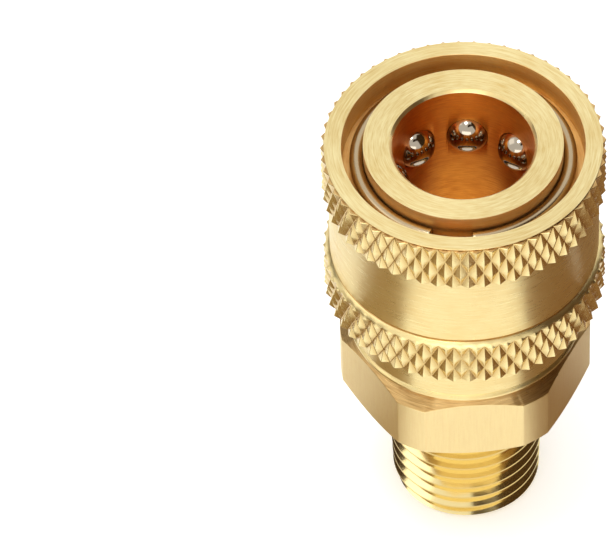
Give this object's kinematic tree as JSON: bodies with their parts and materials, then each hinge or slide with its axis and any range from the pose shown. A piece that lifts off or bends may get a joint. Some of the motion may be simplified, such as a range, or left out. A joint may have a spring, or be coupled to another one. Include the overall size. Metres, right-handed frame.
{
  "type": "quick disconnect coupler socket",
  "caption": "Straight-through ball-lock quick disconnect coupler socket with a knurled sliding sleeve, a spanner hexagon and a male tapered pipe thread.",
  "frame": {"origin": "on the axis at the thread's tip face, which the part stands on", "axes": "+Z along the axis from the thread tip to the socket mouth; the snap ring's gap faces about -Y"},
  "size_m": [0.025, 0.025, 0.0439],
  "materials": {
    "brass_turned": "polished",
    "steel_spring": "satin",
    "steel_ball": "polished",
    "rubber_black": "matte",
    "ptfe_white": "matte"
  },
  "bodies": {
    "body": {"hex_adapter": "brass_turned", "socket_body": "brass_turned", "snap_ring": "steel_spring", "nose_o_ring": "rubber_black", "backup_ring": "ptfe_white"},
    "spring": {"sleeve_spring": "steel_spring"},
    "sleeve": {"locking_sleeve": "brass_turned"},
    "ball_1": {"locking_ball_1": "steel_ball"},
    "ball_2": {"locking_ball_2": "steel_ball"},
    "ball_3": {"locking_ball_3": "steel_ball"},
    "ball_4": {"locking_ball_4": "steel_ball"},
    "ball_5": {"locking_ball_5": "steel_ball"},
    "ball_6": {"locking_ball_6": "steel_ball"},
    "ball_7": {"locking_ball_7": "steel_ball"},
    "ball_8": {"locking_ball_8": "steel_ball"}
  },
  "joints": [
    {"name": "sleeve_spin", "type": "hinge", "parent": "body", "child": "spring", "pos_m": [0, 0, 0.03], "axis": [0, 0, 1], "continuous": true},
    {"name": "sleeve_slide", "type": "slide", "parent": "spring", "child": "sleeve", "axis": [0, 0, -1], "range_m": [0, 0.0046], "stiffness_N_per_m": 2500, "springref_m": -0.004, "deforming": ["sleeve_spring"]},
    {"name": "ball_1_lift", "type": "slide", "parent": "body", "child": "ball_1", "axis": [0.0593, 0.9982, 0], "range_m": [0, 0.00125]},
    {"name": "ball_2_lift", "type": "slide", "parent": "body", "child": "ball_2", "axis": [-0.6639, 0.7478, 0], "range_m": [0, 0.00125]},
    {"name": "ball_3_lift", "type": "slide", "parent": "body", "child": "ball_3", "axis": [-0.9982, 0.0593, 0], "range_m": [0, 0.00125]},
    {"name": "ball_4_lift", "type": "slide", "parent": "body", "child": "ball_4", "axis": [-0.7478, -0.6639, 0], "range_m": [0, 0.00125]},
    {"name": "ball_5_lift", "type": "slide", "parent": "body", "child": "ball_5", "axis": [-0.0593, -0.9982, 0], "range_m": [0, 0.00125]},
    {"name": "ball_6_lift", "type": "slide", "parent": "body", "child": "ball_6", "axis": [0.6639, -0.7478, 0], "range_m": [0, 0.00125]},
    {"name": "ball_7_lift", "type": "slide", "parent": "body", "child": "ball_7", "axis": [0.9982, -0.0593, 0], "range_m": [0, 0.00125]},
    {"name": "ball_8_lift", "type": "slide", "parent": "body", "child": "ball_8", "axis": [0.7478, 0.6639, 0], "range_m": [0, 0.00125]}
  ],
  "couplings": [
    {"joint": "ball_1_lift", "follows": "sleeve_slide", "ratio": 0.27174},
    {"joint": "ball_2_lift", "follows": "sleeve_slide", "ratio": 0.27174},
    {"joint": "ball_3_lift", "follows": "sleeve_slide", "ratio": 0.27174},
    {"joint": "ball_4_lift", "follows": "sleeve_slide", "ratio": 0.27174},
    {"joint": "ball_5_lift", "follows": "sleeve_slide", "ratio": 0.27174},
    {"joint": "ball_6_lift", "follows": "sleeve_slide", "ratio": 0.27174},
    {"joint": "ball_7_lift", "follows": "sleeve_slide", "ratio": 0.27174},
    {"joint": "ball_8_lift", "follows": "sleeve_slide", "ratio": 0.27174}
  ]
}
